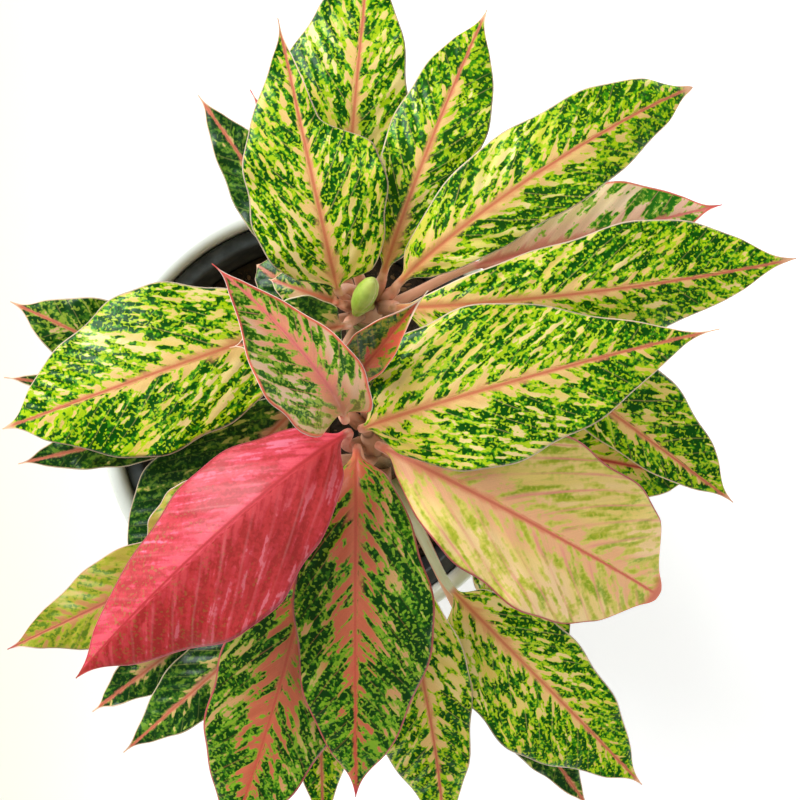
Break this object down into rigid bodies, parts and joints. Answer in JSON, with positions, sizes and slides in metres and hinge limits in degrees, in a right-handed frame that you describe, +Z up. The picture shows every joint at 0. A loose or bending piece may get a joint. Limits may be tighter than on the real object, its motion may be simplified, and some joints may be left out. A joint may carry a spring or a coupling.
{
  "type": "potted chinese evergreen",
  "caption": "Variegated green, cream, pink and red houseplant with pointed arching leaves, in a dark nursery pot inside a pale round planter.",
  "frame": {"origin": "centre of the planter's flat base, on the surface it stands on", "axes": "+Z up along the pots' axis, +X towards the side that the longest leaf reaches, +Y towards the back crown, which carries the flower bud"},
  "size_m": [0.378, 0.432, 0.393],
  "materials": {
    "planter": "satin",
    "nursery_pot": "satin",
    "soil": "matte",
    "stem_bark": "matte",
    "bud": "satin",
    "leaf_cream": "satin",
    "leaf_deep": "satin",
    "leaf_rose": "satin",
    "leaf_red": "satin",
    "leaf_peach": "satin",
    "leaf_olive": "satin",
    "leaf_pink": "satin"
  },
  "bodies": {
    "root": {"planter": "planter", "nursery_pot": "nursery_pot", "soil": "soil", "stem_back": "stem_bark", "stem_front": "stem_bark", "stem_left": "stem_bark", "stem_corner": "stem_bark", "stem_right": "stem_bark", "leaf_cupped_top": "leaf_pink", "leaf_furled": "leaf_rose", "leaf_red": "leaf_red", "leaf_right_upper": "leaf_cream", "leaf_peach": "leaf_peach", "leaf_front_pink": "leaf_rose", "leaf_front_right": "leaf_cream", "leaf_corner_right": "leaf_cream", "leaf_olive_flap": "leaf_olive", "leaf_low_front": "leaf_deep", "leaf_back_left": "leaf_cream", "leaf_back": "leaf_cream", "leaf_back_narrow": "leaf_cream", "leaf_back_right": "leaf_cream", "leaf_right_long": "leaf_cream", "leaf_pink_right": "leaf_pink", "leaf_curled": "leaf_deep", "leaf_inner": "leaf_cream", "leaf_left_broad": "leaf_cream", "leaf_back_dark": "leaf_deep", "leaf_back_sliver": "leaf_pink", "leaf_left_shaded": "leaf_deep", "leaf_left_back": "leaf_cream", "leaf_left_low": "leaf_deep", "leaf_left_sliver": "leaf_deep", "leaf_pot_round": "leaf_deep", "leaf_front_left": "leaf_rose", "leaf_olive": "leaf_olive", "leaf_corner_dark": "leaf_deep", "leaf_corner_small": "leaf_deep", "leaf_front_small": "leaf_cream", "leaf_right_low": "leaf_cream", "leaf_right_folded": "leaf_rose", "leaf_under_peach": "leaf_cream", "flower_bud": "bud"}
  },
  "joints": []
}
